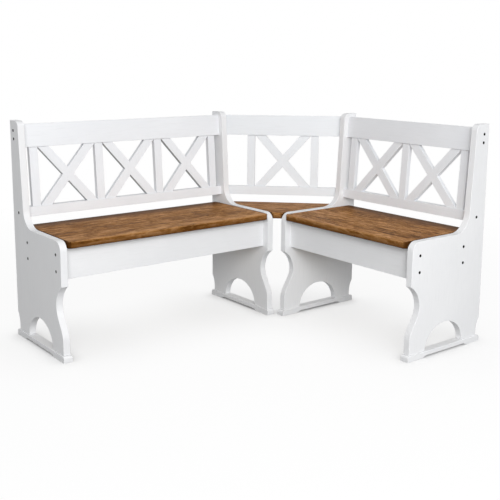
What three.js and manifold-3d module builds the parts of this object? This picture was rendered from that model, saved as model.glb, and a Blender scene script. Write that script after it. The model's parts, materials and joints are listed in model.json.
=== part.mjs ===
// Corner storage bench: two benches with lift-up seats and a diagonal corner seat between them.
// Millimetres, +Z up. The room corner is at +X and +Y; the long bench runs along X and faces -Y,
// the short bench runs along Y and faces -X. The origin is the middle of the footprint, on the floor.

import * as THREE from "three";
import * as BufferGeometryUtils from "three/addons/utils/BufferGeometryUtils.js";
import Module from "manifold-3d";

// Overall sizes
const longLength = 1052.5; // long bench, over its two end panels
const shortLength = 785.5; // short bench, over its two end panels
const backHeight = 920; // floor to the top of the end panels
const seatTop = 480; // floor to the top of the seats
const cornerGap = 27; // kept between the two end panels that meet at the corner
const jointGap = 0.3; // left between pieces that are screwed or glued together

// End panels, cut from thick board
const panelThickness = 29;
const panelDepth = 437; // wall to the straight front edge
const armRise = 1.5; // how far the panel stands above the seat
const armFrontRadius = 38;
const postTopDepth = 76; // depth of the back post at the top
const postRootDepth = 97.5; // depth of the back post where its hollow begins
const postRootHeight = 85; // above the arm, where the hollow begins
const postTopRadius = 27;
const hollowRadius = 78;
const noseHeight = 303; // where the straight front edge stops
const waistHeight = 213;
const waistInset = 52.5;
const toeHeight = 85;
const toeBend = 45;
const coveDepth = 18.5; // the hollow at the foot of the rear edge
const coveHeight = 103;
const coveFootHeight = 45;
const coveBendDepthShare = 0.92;
const coveBendRiseShare = 0.64;
const archMiddleDepth = 227;
const archHalfWidth = 115;
const archHeight = 101;

// Foot rails under the end panels
const footHeight = 26;
const footWidth = 38;
const footNose = 10; // in front of the panel
const footRound = 10;
const footRearPad = 81;
const footFrontPad = 88;
const footRelief = 8;
const footReliefRun = 22;

// Leaning backs of the two benches
const backLeanDegrees = 4;
const backFaceDepth = 80; // front of the rails, at the height of the seat
const railThickness = 46;
const seatToRail = 42; // open gap over the seat, along the lean
const bottomRailHeight = 41;
const topRailHeight = 96;
const topRailDrop = 15; // below the top of the end panels
const slatWidth = 37;
const slatThickness = 21;
const slatSetback = 3; // behind the front of the rails
const slatEndGap = 26.5; // from the end panel to the first slat
const armWidth = 38; // of each crossing bar
const longFieldCount = 3;
const shortFieldCount = 2;

// Seat boxes
const apronThickness = 20;
const apronHeight = 129;
const frontApronSetback = 34; // behind the panels' front edge
const rearApronDepth = 117; // wall to its rear face
const boxBottomThickness = 9;
const boxBottomRise = 10;

// Lift-up lids
const lidThickness = 28;
const lidRearDepth = 37;
const lidOverhang = 8; // in front of the panels
const lidEndGap = 3.5;
const lidCornerCut = 11;
const seatEdgeBevel = 3;
const battenWidth = 42;
const battenThickness = 18;
const battenInset = 88; // from the lid's end
const battenClearance = 12; // from the two aprons

// Butt hinges behind the rear apron
const hingeInset = 150; // from the lid's end to the hinge's near end
const hingeLength = 72;
const hingeDrop = 5; // pin centre below the lid
const hingeStandOff = 5; // pin centre behind the apron
const knuckleRadius = 4;
const knuckleGap = 0.5;
const pinRadius = 1.6;
const pinClearance = 0.5;
const leafThickness = 2;
const leafWidth = 34;
const middleKnuckleLength = 26;
const hingeScrewRadius = 2.4;
const hingeScrewInset = 13; // from the leaf's end
const hingeScrewReach = 20; // from the pin centre
const hingeCount = 2; // on each lid

// Corner unit
const cornerBackMeet = 90; // depth on the end panels where its back begins, at seat height
const cornerRailThickness = 24;
const cornerSlatThickness = 16;
const cornerSlatSetback = 4;
const cornerSlatEndGap = 92.5; // from the end panels to the slats
const cornerSeatSetback = 7; // behind the panels' front edge, along the diagonal
const cleatWidth = 25;
const cleatHeight = 25;
const cleatRearInset = 48; // from the seat's rear corner
const cleatFrontInset = 30; // from the panels' front edge

// Screw recesses in the end panels
const recessRadius = 6.5;
const recessDepth = 6;
const topRailScrewShares = [0.38, 0.74];
const bottomRailScrewShares = [0.46];
const apronScrewShares = [0.27, 0.79];

// Smoothness and overruns
const overrun = 1; // how far a cutter passes the face that it opens
const filletSteps = 7;
const ogeeSteps = 9;
const archSteps = 22;
const roundSides = 16;
const recessSides = 12;
const mergeDistance = 0.0001;

// Sizes worked out from the ones above
const backLean = THREE.MathUtils.degToRad(backLeanDegrees);
const cornerOffset = panelDepth + cornerGap; // from each wall to the end panel by the corner
const armTop = seatTop + armRise;
const panelBase = footHeight + jointGap;
const lidUnderside = seatTop - lidThickness;
const apronTop = lidUnderside - jointGap;
const apronBase = lidUnderside - apronHeight;
const frontApronDepth = panelDepth - frontApronSetback;
const lidFrontDepth = panelDepth + lidOverhang;
const hingeAxisDepth = rearApronDepth - hingeStandOff;
const hingeAxisHeight = lidUnderside - hingeDrop;
const footProud = (footWidth - panelThickness) / 2;
const backRise = (backHeight - topRailDrop - seatTop) / Math.cos(backLean);
const topRailBase = backRise - topRailHeight;
const bareSolid = { bevelEnabled: false };

const wasm = await Module();
wasm.setup();

// Finishes
function paint(color, roughness, metalness) {
  return new THREE.MeshStandardMaterial({ color, roughness, metalness });
}
const whitePaint = () => paint(0xf1f1f2, 0.42, 0);
const stainedWood = () => paint(0x96693f, 0.36, 0);
const rawPine = () => paint(0xd9b684, 0.65, 0);
const plywood = () => paint(0xdcc298, 0.7, 0);
const platedSteel = () => paint(0xb7b3a9, 0.35, 0.9);

function addPiece(group, name, geometry, material) {
  const mesh = new THREE.Mesh(geometry, material);
  mesh.name = name;
  group.add(mesh);
  return mesh;
}

// Cutting and joining of closed shapes
function toSolid(geometry) {
  const bare = geometry.clone();
  bare.deleteAttribute("normal");
  bare.deleteAttribute("uv");
  const merged = BufferGeometryUtils.mergeVertices(bare, mergeDistance);
  const vertProperties = Float32Array.from(merged.attributes.position.array);
  const triVerts = Uint32Array.from(merged.index.array);
  return new wasm.Manifold(new wasm.Mesh({ numProp: 3, vertProperties, triVerts }));
}

function toGeometry(solid) {
  const mesh = solid.getMesh();
  const geometry = new THREE.BufferGeometry();
  geometry.setAttribute("position", new THREE.BufferAttribute(mesh.vertProperties, 3));
  geometry.setIndex(new THREE.BufferAttribute(mesh.triVerts, 1));
  geometry.computeVertexNormals();
  return geometry;
}

function cutAway(geometry, cutters) {
  let solid = toSolid(geometry);
  for (const cutter of cutters) {
    solid = solid.subtract(toSolid(cutter));
  }
  return toGeometry(solid);
}

// A block between two corners
function block(low, high) {
  const size = high.clone().sub(low);
  const middle = high.clone().add(low).multiplyScalar(0.5);
  return new THREE.BoxGeometry(size.x, size.y, size.z).translate(middle.x, middle.y, middle.z);
}

// A round bar along X, from one X to another
function barAlongX(fromX, toX, y, z, radius, sides) {
  const bar = new THREE.CylinderGeometry(radius, radius, toX - fromX, sides);
  bar.rotateZ(-Math.PI / 2);
  return bar.translate((fromX + toX) / 2, y, z);
}

// An outline drawn in Y and Z, made solid from one X to another
function slabAlongX(shape, fromX, toX) {
  const slab = new THREE.ExtrudeGeometry(shape, { depth: toX - fromX, ...bareSolid });
  const turned = new THREE.Matrix4().makeBasis(
    new THREE.Vector3(0, 1, 0),
    new THREE.Vector3(0, 0, 1),
    new THREE.Vector3(1, 0, 0),
  );
  return slab.applyMatrix4(turned).translate(fromX, 0, 0);
}

// An outline drawn in X and Z, made solid from one Y to another
function slabAlongY(shape, fromY, toY) {
  const slab = new THREE.ExtrudeGeometry(shape, { depth: toY - fromY, ...bareSolid });
  return slab.rotateX(Math.PI / 2).translate(0, toY, 0);
}

// A seat board: a plan outline with its edges bevelled all round, above and below
function seatBoard(points) {
  const board = new THREE.ExtrudeGeometry(new THREE.Shape(points), {
    depth: lidThickness - 2 * seatEdgeBevel,
    bevelEnabled: true,
    bevelThickness: seatEdgeBevel,
    bevelSize: seatEdgeBevel,
    bevelOffset: -seatEdgeBevel,
    bevelSegments: 1,
  });
  return board.translate(0, 0, lidUnderside + seatEdgeBevel);
}

// Replaces a corner of an outline by an arc that touches both of its sides
function filletPoints(before, corner, after, radius) {
  const toBefore = before.clone().sub(corner).normalize();
  const toAfter = after.clone().sub(corner).normalize();
  const halfAngle = Math.acos(toBefore.dot(toAfter)) / 2;
  const middle = toBefore.clone().add(toAfter).normalize();
  const centre = corner.clone().addScaledVector(middle, radius / Math.sin(halfAngle));
  const reach = radius / Math.tan(halfAngle);
  const start = corner.clone().addScaledVector(toBefore, reach).sub(centre);
  const turn = toBefore.cross(toAfter) > 0 ? -1 : 1;
  const sweep = turn * (Math.PI - 2 * halfAngle);
  const points = [];
  for (let step = 0; step <= filletSteps; step += 1) {
    points.push(start.clone().rotateAround(new THREE.Vector2(), (sweep * step) / filletSteps).add(centre));
  }
  return points;
}

// The end panel's outline, in Y and Z, from the rear foot over the top to the front foot
function endPanelShape() {
  const at = (depth, height) => new THREE.Vector2(-depth, height);
  const rearFoot = at(coveDepth, coveFootHeight);
  const coveBend = at(
    coveDepth * coveBendDepthShare,
    coveFootHeight + (coveHeight - coveFootHeight) * coveBendRiseShare,
  );
  const cove = new THREE.QuadraticBezierCurve(rearFoot, coveBend, at(0, coveHeight));

  const postRoot = at(postRootDepth, armTop + postRootHeight);
  const postTop = at(postTopDepth, backHeight);
  const slope = (postRoot.x - postTop.x) / (postRoot.y - postTop.y);
  const hollow = at(-(postRoot.x + slope * (armTop - postRoot.y)), armTop);
  const armFront = at(panelDepth, armTop);
  const nose = at(panelDepth, noseHeight);

  const waistRise = noseHeight - waistHeight;
  const waistRadius = (waistRise ** 2 + waistInset ** 2) / (2 * waistInset);
  const waistCentre = at(panelDepth - waistInset + waistRadius, waistHeight);
  const waistSweep = Math.asin(waistRise / waistRadius);
  const waist = at(panelDepth - waistInset, waistHeight);
  const toe = at(panelDepth, toeHeight);
  const ogee = new THREE.CubicBezierCurve(
    waist,
    at(panelDepth - waistInset, waistHeight - toeBend),
    at(panelDepth, toeHeight + toeBend),
    toe,
  );

  const shape = new THREE.Shape();
  shape.moveTo(-coveDepth, panelBase);
  cove.getPoints(filletSteps).forEach((point) => shape.lineTo(point.x, point.y));
  const corners = [
    [at(0, coveHeight), at(0, backHeight), postTop, 0],
    [at(0, backHeight), postTop, hollow, postTopRadius],
    [postTop, hollow, armFront, hollowRadius],
    [hollow, armFront, nose, armFrontRadius],
  ];
  for (const [before, corner, after, radius] of corners) {
    const points = radius > 0 ? filletPoints(before, corner, after, radius) : [corner];
    points.forEach((point) => shape.lineTo(point.x, point.y));
  }
  for (let step = 0; step <= ogeeSteps; step += 1) {
    const angle = waistSweep * (1 - step / ogeeSteps);
    const y = waistCentre.x + waistRadius * Math.cos(angle);
    shape.lineTo(y, waistCentre.y + waistRadius * Math.sin(angle));
  }
  ogee.getPoints(ogeeSteps).slice(1).forEach((point) => shape.lineTo(point.x, point.y));
  shape.lineTo(-panelDepth, panelBase);
  for (let step = 0; step <= archSteps; step += 1) {
    const angle = Math.PI * (1 - step / archSteps);
    const y = -archMiddleDepth + archHalfWidth * Math.cos(angle);
    shape.lineTo(y, panelBase + archHeight * Math.sin(angle));
  }
  shape.closePath();
  return shape;
}

// Where the screws sit, as points in Y and Z
function screwPlaces() {
  const tilt = new THREE.Euler(-backLean, 0, 0);
  const onBack = (rise) => {
    const point = new THREE.Vector3(0, railThickness / 2, rise).applyEuler(tilt);
    return point.add(new THREE.Vector3(0, -backFaceDepth, seatTop));
  };
  const places = [];
  for (const share of topRailScrewShares) {
    places.push(onBack(topRailBase + topRailHeight * share));
  }
  for (const share of bottomRailScrewShares) {
    places.push(onBack(seatToRail + bottomRailHeight * share));
  }
  for (const share of apronScrewShares) {
    const height = apronBase + apronHeight * share;
    places.push(new THREE.Vector3(0, -rearApronDepth - apronThickness / 2, height));
    places.push(new THREE.Vector3(0, -frontApronDepth + apronThickness / 2, height));
  }
  return places;
}

// An end panel whose outer face, with the screw recesses, is towards -X or +X
function endPanel(fromX, outerFaceX, inwards) {
  const slab = slabAlongX(endPanelShape(), fromX, fromX + panelThickness);
  const recesses = screwPlaces().map((place) => {
    const ends = [outerFaceX - overrun * inwards, outerFaceX + recessDepth * inwards];
    return barAlongX(Math.min(...ends), Math.max(...ends), place.y, place.z, recessRadius, recessSides);
  });
  return cutAway(slab, recesses);
}

// A foot rail with two pads and a relieved underside
function footRail(fromX) {
  const length = panelDepth + footNose;
  const at = (depth, height) => new THREE.Vector2(-depth, height);
  const shape = new THREE.Shape();
  shape.moveTo(0, 0);
  const rearTop = filletPoints(at(0, 0), at(0, footHeight), at(length, footHeight), footRound);
  const frontTop = filletPoints(at(0, footHeight), at(length, footHeight), at(length, 0), footRound);
  [...rearTop, ...frontTop].forEach((point) => shape.lineTo(point.x, point.y));
  shape.lineTo(-length, 0);
  shape.lineTo(-length + footFrontPad, 0);
  shape.lineTo(-length + footFrontPad + footReliefRun, footRelief);
  shape.lineTo(-footRearPad - footReliefRun, footRelief);
  shape.lineTo(-footRearPad, 0);
  shape.closePath();
  return slabAlongX(shape, fromX - footProud, fromX - footProud + footWidth);
}

// How much of a rail one crossing bar covers, for bars that run into the field's corners
function barFoot(width, height) {
  const reach = Math.sqrt(width ** 2 + height ** 2 - armWidth ** 2);
  return (armWidth * (height * reach - armWidth * width)) / (height ** 2 - armWidth ** 2);
}

// One of the two bars that cross in a field; spread widens it on both sides for a cutter
function crossBarShape(left, right, low, high, rising, spread) {
  const foot = barFoot(right - left, high - low);
  const lowX = rising ? left : right - foot;
  const highX = rising ? right - foot : left;
  return new THREE.Shape([
    new THREE.Vector2(lowX - spread, low),
    new THREE.Vector2(lowX + foot + spread, low),
    new THREE.Vector2(highX + foot + spread, high),
    new THREE.Vector2(highX - spread, high),
  ]);
}

// The bar with its half of the lap joint taken out, so that the pair lies flush
function crossBar(left, right, low, high, rising, frontY, thickness) {
  const middleY = frontY + thickness / 2;
  const bar = slabAlongY(crossBarShape(left, right, low, high, rising, 0), frontY, frontY + thickness);
  const otherBar = crossBarShape(left, right, low, high, !rising, 2 * jointGap);
  const half = jointGap / 2;
  const notch = rising
    ? slabAlongY(otherBar, middleY - half, frontY + thickness + overrun)
    : slabAlongY(otherBar, frontY - overrun, middleY + half);
  return cutAway(bar, [notch]);
}

// Slats and crossing bars between the two rails; X is measured from the first slat's near side
function backFill(group, prefix, startX, fields, spacing, frontY, thickness, place) {
  const low = seatToRail + bottomRailHeight + jointGap;
  const high = topRailBase - jointGap;
  for (let index = 0; index <= fields; index += 1) {
    const left = startX + index * spacing;
    const slat = block(
      new THREE.Vector3(left, frontY, low),
      new THREE.Vector3(left + slatWidth, frontY + thickness, high),
    );
    addPiece(group, `${prefix}_back_slat_${index + 1}`, place(slat), whitePaint());
  }
  for (let index = 0; index < fields; index += 1) {
    const left = startX + index * spacing + slatWidth + jointGap;
    const right = startX + (index + 1) * spacing - jointGap;
    for (const rising of [true, false]) {
      const bar = crossBar(left, right, low, high, rising, frontY, thickness);
      const name = `${prefix}_cross_${index + 1}_${rising ? "rising" : "falling"}_bar`;
      addPiece(group, name, place(bar), whitePaint());
    }
  }
}

// The leaning back of one bench
function benchBack(prefix, length, fields) {
  const back = new THREE.Group();
  back.position.set(0, -backFaceDepth, seatTop);
  back.rotation.x = -backLean;
  const fromX = panelThickness + jointGap;
  const toX = length - panelThickness - jointGap;
  const rails = [
    ["top", topRailBase, topRailHeight],
    ["bottom", seatToRail, bottomRailHeight],
  ];
  for (const [name, base, height] of rails) {
    const rail = block(
      new THREE.Vector3(fromX, 0, base),
      new THREE.Vector3(toX, railThickness, base + height),
    );
    addPiece(back, `${prefix}_${name}_rail`, rail, whitePaint());
  }
  const startX = panelThickness + slatEndGap;
  const spacing = (length - 2 * startX - slatWidth) / fields;
  backFill(back, prefix, startX, fields, spacing, slatSetback, slatThickness, (shape) => shape);
  return back;
}

// The two aprons and the bottom board of a seat box
function seatBox(group, prefix, length) {
  const fromX = panelThickness + jointGap;
  const toX = length - panelThickness - jointGap;
  const aprons = [
    ["front", -frontApronDepth],
    ["rear", -rearApronDepth - apronThickness],
  ];
  for (const [name, frontY] of aprons) {
    const apron = block(
      new THREE.Vector3(fromX, frontY, apronBase),
      new THREE.Vector3(toX, frontY + apronThickness, apronTop),
    );
    addPiece(group, `${prefix}_${name}_apron`, apron, whitePaint());
  }
  const bottom = block(
    new THREE.Vector3(fromX, -frontApronDepth + apronThickness + jointGap, apronBase + boxBottomRise),
    new THREE.Vector3(
      toX,
      -rearApronDepth - apronThickness - jointGap,
      apronBase + boxBottomRise + boxBottomThickness,
    ),
  );
  addPiece(group, `${prefix}_box_bottom`, bottom, plywood());
}

// The lift-up seat board with its two stiffening battens
function lid(group, prefix, length) {
  const fromX = panelThickness + lidEndGap;
  const toX = length - panelThickness - lidEndGap;
  const board = seatBoard([
    new THREE.Vector2(fromX, -lidRearDepth),
    new THREE.Vector2(fromX, -lidFrontDepth + lidCornerCut),
    new THREE.Vector2(fromX + lidCornerCut, -lidFrontDepth),
    new THREE.Vector2(toX - lidCornerCut, -lidFrontDepth),
    new THREE.Vector2(toX, -lidFrontDepth + lidCornerCut),
    new THREE.Vector2(toX, -lidRearDepth),
  ]);
  addPiece(group, `${prefix}_lid`, board, stainedWood());
  [fromX + battenInset, toX - battenInset - battenWidth].forEach((left, index) => {
    const batten = block(
      new THREE.Vector3(
        left,
        -frontApronDepth + apronThickness + battenClearance,
        lidUnderside - jointGap - battenThickness,
      ),
      new THREE.Vector3(
        left + battenWidth,
        -rearApronDepth - apronThickness - battenClearance,
        lidUnderside - jointGap,
      ),
    );
    addPiece(group, `${prefix}_lid_batten_${index + 1}`, batten, rawPine());
  });
}

// One leaf of a butt hinge: a plate with screw holes, with its share of the knuckles on the pin
function hingeLeaf(fromX, onLid) {
  const toX = fromX + hingeLength;
  const axisY = -hingeAxisDepth;
  const axisZ = hingeAxisHeight;
  const middleFrom = fromX + (hingeLength - middleKnuckleLength) / 2;
  const middleTo = middleFrom + middleKnuckleLength;
  const middle = [[middleFrom, middleTo]];
  const outer = [
    [fromX, middleFrom - knuckleGap],
    [middleTo + knuckleGap, toX],
  ];
  const plate = onLid
    ? block(
      new THREE.Vector3(fromX, axisY, lidUnderside - jointGap - leafThickness),
      new THREE.Vector3(toX, axisY + leafWidth, lidUnderside - jointGap),
    )
    : block(
      new THREE.Vector3(fromX, -rearApronDepth + jointGap, axisZ - leafWidth),
      new THREE.Vector3(toX, -rearApronDepth + jointGap + leafThickness, axisZ),
    );
  let leaf = toSolid(plate);
  for (const [from, to] of onLid ? outer : middle) {
    const room = barAlongX(
      from - knuckleGap, to + knuckleGap, axisY, axisZ, knuckleRadius + knuckleGap, roundSides);
    leaf = leaf.subtract(toSolid(room));
  }
  for (const [from, to] of onLid ? middle : outer) {
    leaf = leaf.add(toSolid(barAlongX(from, to, axisY, axisZ, knuckleRadius, roundSides)));
  }
  if (onLid) {
    const bore = barAlongX(
      middleFrom - overrun, middleTo + overrun, axisY, axisZ, pinRadius + pinClearance, roundSides);
    leaf = leaf.subtract(toSolid(bore));
  } else {
    leaf = leaf.add(toSolid(barAlongX(fromX, toX, axisY, axisZ, pinRadius, roundSides)));
  }
  for (const x of [fromX + hingeScrewInset, toX - hingeScrewInset]) {
    const length = 2 * (leafThickness + knuckleRadius + overrun);
    const hole = new THREE.CylinderGeometry(hingeScrewRadius, hingeScrewRadius, length, recessSides);
    if (onLid) {
      hole.rotateX(Math.PI / 2);
      hole.translate(x, axisY + hingeScrewReach, lidUnderside);
    } else {
      hole.translate(x, -rearApronDepth, axisZ - hingeScrewReach);
    }
    leaf = leaf.subtract(toSolid(hole));
  }
  return toGeometry(leaf);
}

function hinges(group, prefix, length) {
  const nearX = panelThickness + lidEndGap + hingeInset;
  const farX = length - nearX - hingeLength;
  for (let index = 0; index < hingeCount; index += 1) {
    const fromX = nearX + ((farX - nearX) * index) / (hingeCount - 1);
    addPiece(group, `${prefix}_hinge_${index + 1}_apron_leaf`, hingeLeaf(fromX, false), platedSteel());
    addPiece(group, `${prefix}_hinge_${index + 1}_lid_leaf`, hingeLeaf(fromX, true), platedSteel());
  }
}

// One bench, along +X from its first end panel, with its rear edges on Y = 0 and facing -Y
function bench(prefix, length, fields, endNames) {
  const group = new THREE.Group();
  const ends = [
    { name: endNames[0], fromX: 0, outerFaceX: 0, inwards: 1 },
    { name: endNames[1], fromX: length - panelThickness, outerFaceX: length, inwards: -1 },
  ];
  for (const { name, fromX, outerFaceX, inwards } of ends) {
    const panel = endPanel(fromX, outerFaceX, inwards);
    addPiece(group, `${prefix}_${name}_end_panel`, panel, whitePaint());
    addPiece(group, `${prefix}_${name}_foot_rail`, footRail(fromX), whitePaint());
  }
  group.add(benchBack(prefix, length, fields));
  seatBox(group, prefix, length);
  lid(group, prefix, length);
  hinges(group, prefix, length);
  return group;
}

// The corner unit: its pieces are drawn across the diagonal, X along the back and -Y to the front
function cornerUnit() {
  const group = new THREE.Group();
  const diagonal = (alongWall) => (cornerOffset + alongWall) / Math.SQRT2;
  const toRoom = new THREE.Matrix4().makeRotationZ(-Math.PI / 4);
  const lean = new THREE.Matrix4().makeRotationX(-backLean);
  lean.premultiply(new THREE.Matrix4().makeTranslation(0, -diagonal(cornerBackMeet), seatTop));
  const toBack = toRoom.clone().multiply(lean);

  const between = toSolid(block(
    new THREE.Vector3(-cornerOffset + jointGap, -cornerOffset + jointGap, 0),
    new THREE.Vector3(0, 0, backHeight),
  ));
  const rails = [
    ["top", topRailBase, topRailHeight],
    ["bottom", seatToRail, bottomRailHeight],
  ];
  for (const [name, base, height] of rails) {
    const rail = block(
      new THREE.Vector3(-cornerOffset, 0, base),
      new THREE.Vector3(cornerOffset, cornerRailThickness, base + height),
    );
    const mitred = toGeometry(toSolid(rail.applyMatrix4(toBack)).intersect(between));
    addPiece(group, `corner_${name}_rail`, mitred, whitePaint());
  }
  const startX = cornerSlatEndGap - (cornerOffset - cornerBackMeet) / Math.SQRT2;
  const spacing = -2 * startX - slatWidth;
  const place = (shape) => shape.applyMatrix4(toBack);
  backFill(group, "corner", startX, 1, spacing, cornerSlatSetback, cornerSlatThickness, place);

  const rearDepth = diagonal(lidRearDepth);
  const frontDepth = diagonal(panelDepth) - cornerSeatSetback;
  const reach = (cornerOffset - jointGap) * Math.SQRT2;
  const seat = seatBoard([
    new THREE.Vector2(-(reach - rearDepth), -rearDepth),
    new THREE.Vector2(-(reach - frontDepth), -frontDepth),
    new THREE.Vector2(reach - frontDepth, -frontDepth),
    new THREE.Vector2(reach - rearDepth, -rearDepth),
  ]);
  addPiece(group, "corner_seat", seat.applyMatrix4(toRoom), stainedWood());

  const near = -lidRearDepth - cleatRearInset;
  const far = -panelDepth + cleatFrontInset;
  const wallSide = -cornerOffset + jointGap;
  const top = lidUnderside - jointGap;
  const longCleat = block(
    new THREE.Vector3(wallSide, far, top - cleatHeight),
    new THREE.Vector3(wallSide + cleatWidth, near, top),
  );
  const shortCleat = block(
    new THREE.Vector3(far, wallSide, top - cleatHeight),
    new THREE.Vector3(near, wallSide + cleatWidth, top),
  );
  addPiece(group, "corner_seat_cleat_long_side", longCleat, whitePaint());
  addPiece(group, "corner_seat_cleat_short_side", shortCleat, whitePaint());
  return group;
}

// Assembly, drawn from the room corner and then centred on the footprint
const longBench = bench("long", longLength, longFieldCount, ["outer", "inner"]);
longBench.position.set(-cornerOffset - longLength, 0, 0);

const shortBench = bench("short", shortLength, shortFieldCount, ["inner", "outer"]);
shortBench.rotation.z = -Math.PI / 2;
shortBench.position.set(0, -cornerOffset, 0);

const cornerBench = new THREE.Group();
cornerBench.name = "corner_storage_bench";
cornerBench.add(longBench, shortBench, cornerUnit());
cornerBench.position.set(
  (cornerOffset + longLength + footProud) / 2,
  (cornerOffset + shortLength + footProud) / 2,
  0,
);

export default cornerBench;
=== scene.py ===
"""Looks of the corner storage bench: white joinery, stained seats, hinges, screws and a plain stage."""

import json
import math

import bmesh
import bpy
from bpy.props import FloatProperty, FloatVectorProperty, IntProperty, PointerProperty
from mathutils import Matrix, Vector

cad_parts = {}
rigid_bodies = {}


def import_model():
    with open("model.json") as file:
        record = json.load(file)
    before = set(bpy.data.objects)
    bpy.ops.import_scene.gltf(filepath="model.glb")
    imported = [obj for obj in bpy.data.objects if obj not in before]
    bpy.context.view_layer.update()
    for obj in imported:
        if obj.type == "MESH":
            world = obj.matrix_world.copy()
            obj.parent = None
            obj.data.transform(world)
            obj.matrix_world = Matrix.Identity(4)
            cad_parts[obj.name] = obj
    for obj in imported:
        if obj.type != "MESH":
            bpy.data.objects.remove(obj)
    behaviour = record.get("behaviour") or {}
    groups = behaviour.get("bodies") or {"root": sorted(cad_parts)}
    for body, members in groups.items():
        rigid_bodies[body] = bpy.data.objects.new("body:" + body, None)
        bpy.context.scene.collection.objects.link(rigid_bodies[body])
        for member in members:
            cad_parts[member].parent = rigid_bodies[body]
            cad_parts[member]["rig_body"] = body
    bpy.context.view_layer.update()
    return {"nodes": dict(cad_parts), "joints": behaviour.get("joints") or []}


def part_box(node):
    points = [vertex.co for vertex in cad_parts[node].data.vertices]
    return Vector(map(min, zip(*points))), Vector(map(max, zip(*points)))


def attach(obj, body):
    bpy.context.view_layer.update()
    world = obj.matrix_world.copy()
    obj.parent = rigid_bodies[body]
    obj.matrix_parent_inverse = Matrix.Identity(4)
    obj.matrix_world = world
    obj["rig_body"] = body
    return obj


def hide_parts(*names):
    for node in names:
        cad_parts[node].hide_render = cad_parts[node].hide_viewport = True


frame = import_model()

bl_info = {
    "name": "Corner storage bench",
    "version": (1, 0, 0),
    "blender": (4, 5, 0),
    "location": "3D View > Sidebar > Corner bench",
    "description": "White joinery, stained seats, hinges, screws and stage of a corner storage bench",
    "category": "Object",
}

BENCHES = ("long", "short")
ENDS = ("outer", "inner")
ROWS = ("long", "short", "corner")

# Directions, and the grain of what runs along a row or across a bench
UP = Vector((0, 0, 1))
ALONG = {"long": Vector((1, 0, 0)), "short": Vector((0, 1, 0)), "corner": Vector((1, -1, 0)).normalized()}
BACK = {"long": Vector((0, 1, 0)), "short": Vector((1, 0, 0)), "corner": Vector((1, 1, 0)).normalized()}
GRAIN_ALONG = {"long": "x", "short": "y", "corner": "diagonal"}
GRAIN_ACROSS = {"long": "y", "short": "x"}

# Angles that tell flat faces, sharp edges and creases apart, and the least cosine of edges in line
FLAT = math.radians(0.5)
CORNER = math.radians(28)
CREASE = math.radians(40)
IN_LINE = 0.97

# Lengths in metres that count as no gap, as level and as near
SAME_POINT = 0.00002
LEVEL = 0.0001
NEAR = 0.001

# A screw recess: the corners and the largest area of its floor, and the longest side of its rim
RECESS_CORNERS = 12
RECESS_FLOOR_AREA = 0.00015
RECESS_SIDE = 0.0038

# The least part of a face's normal along a direction, for a face that counts as looking that way
LOOKS_AWAY = 0.3
LOOKS_FORWARD = 0.2
CHAMFER_LOOKS_UP = (0.15, 0.98)

# Small sizes in metres, and where a batten's screws sit, as shares of its length from its middle
PLYWOOD_EASING = 0.0005
LEAF_SCREW_INSET = 0.013  # from the end of the leaf
LEAF_SCREW_REACH = 0.02  # from the pin
LEAF_FACE = 0.0027  # from the pin
SEATED = 0.0002  # how far a head is let into the batten
BATTEN_SCREW_SHARES = (-0.38, 0, 0.38)

# How darkly the front of each seat board is given a painted shade
FRONT_PAINTED_SHADES = {"long_lid": 0.45, "short_lid": 0.42, "corner_seat": 0.2}

# A screw head: its sides, and as shares of its radius, its top and the length and width of its slots
SCREW_SIDES = 20
SMALL_CROWN = 0.72
PANEL_CROWN = 0.99
SLOT_LENGTH = 1.05
SLOT_WIDTH = 0.22

# How high the slots' cutters lie, as a share of the head's height
SLOT_LIFT = 0.95


# Settings that a user would change

LENGTH = {"subtype": "DISTANCE", "unit": "LENGTH"}
COLOUR = {"size": 3, "min": 0, "max": 1, "subtype": "COLOR"}


class BenchSizes(bpy.types.PropertyGroup):
    panel_easing: FloatProperty(
        name="Panel easing", description="Rounding along the edges of the end panels",
        default=0.0024, min=0.0002, max=0.008, **LENGTH)
    rail_easing: FloatProperty(
        name="Rail easing", description="Rounding along the rails, slats, bars, aprons, cleats and battens",
        default=0.0009, min=0.0002, max=0.006, **LENGTH)
    joint_groove: FloatProperty(
        name="Joint groove",
        description="Chamfer on the upper ends of slats and bars, for a dark line under the top rails",
        default=0.0024, min=0.0002, max=0.005, **LENGTH)
    foot_easing: FloatProperty(
        name="Foot easing",
        description="Rounding along the foot rails, which leaves a groove under the panels",
        default=0.0015, min=0.0002, max=0.004, **LENGTH)
    seat_easing: FloatProperty(
        name="Seat easing", description="Rounding of the two corners of each seat board's chamfer",
        default=0.0012, min=0.0002, max=0.003, **LENGTH)
    leaf_easing: FloatProperty(
        name="Hinge easing", description="Rounding along the edges of the hinge leaves",
        default=0.0003, min=0.0001, max=0.001, **LENGTH)
    screw_radius: FloatProperty(
        name="Screw head radius", description="Radius of the screw heads in the end panels",
        default=0.0062, min=0.001, max=0.0062, **LENGTH)
    screw_height: FloatProperty(
        name="Screw head height", description="Height of the screw heads in the end panels' recesses",
        default=0.0059, min=0.0003, max=0.006, **LENGTH)
    small_screw_radius: FloatProperty(
        name="Small screw radius", description="Radius of the screw heads in the hinges and battens",
        default=0.0036, min=0.001, max=0.006, **LENGTH)
    small_screw_height: FloatProperty(
        name="Small screw height", description="Height of the screw heads in the hinges and battens",
        default=0.0014, min=0.0003, max=0.003, **LENGTH)
    screw_seed: IntProperty(
        name="Screw seed", description="Seed for how far each screw is turned", default=4, min=0)


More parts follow.
